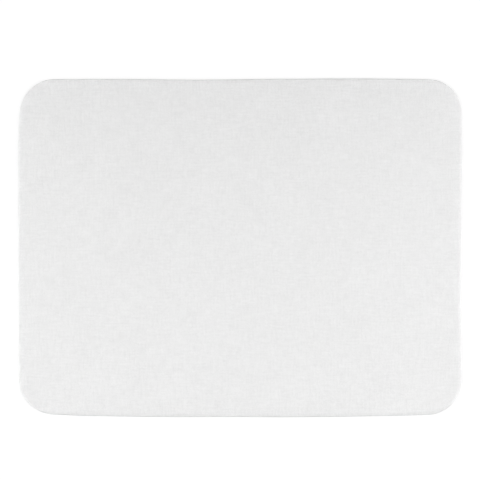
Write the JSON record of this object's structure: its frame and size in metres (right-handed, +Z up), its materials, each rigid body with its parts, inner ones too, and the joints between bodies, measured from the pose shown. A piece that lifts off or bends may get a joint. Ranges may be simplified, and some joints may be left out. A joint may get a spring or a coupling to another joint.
{
  "type": "mouse pad",
  "caption": "Flat cloth-faced mouse pad: a rounded rectangle of foam rubber with a smooth white knitted face and an anti-slip tread underneath.",
  "frame": {"origin": "middle of the underside, on the surface that the pad lies on", "axes": "+X along the pad to the right, +Y across it to its back edge, +Z up out of the cloth face"},
  "size_m": [0.26, 0.1986, 0.003],
  "materials": {
    "white_knit": "matte",
    "adhesive_film": "satin",
    "foam_rubber": "matte"
  },
  "bodies": {
    "root": {"rubber_base": "foam_rubber", "bond_film": "adhesive_film", "cloth_face": "white_knit"}
  },
  "joints": []
}
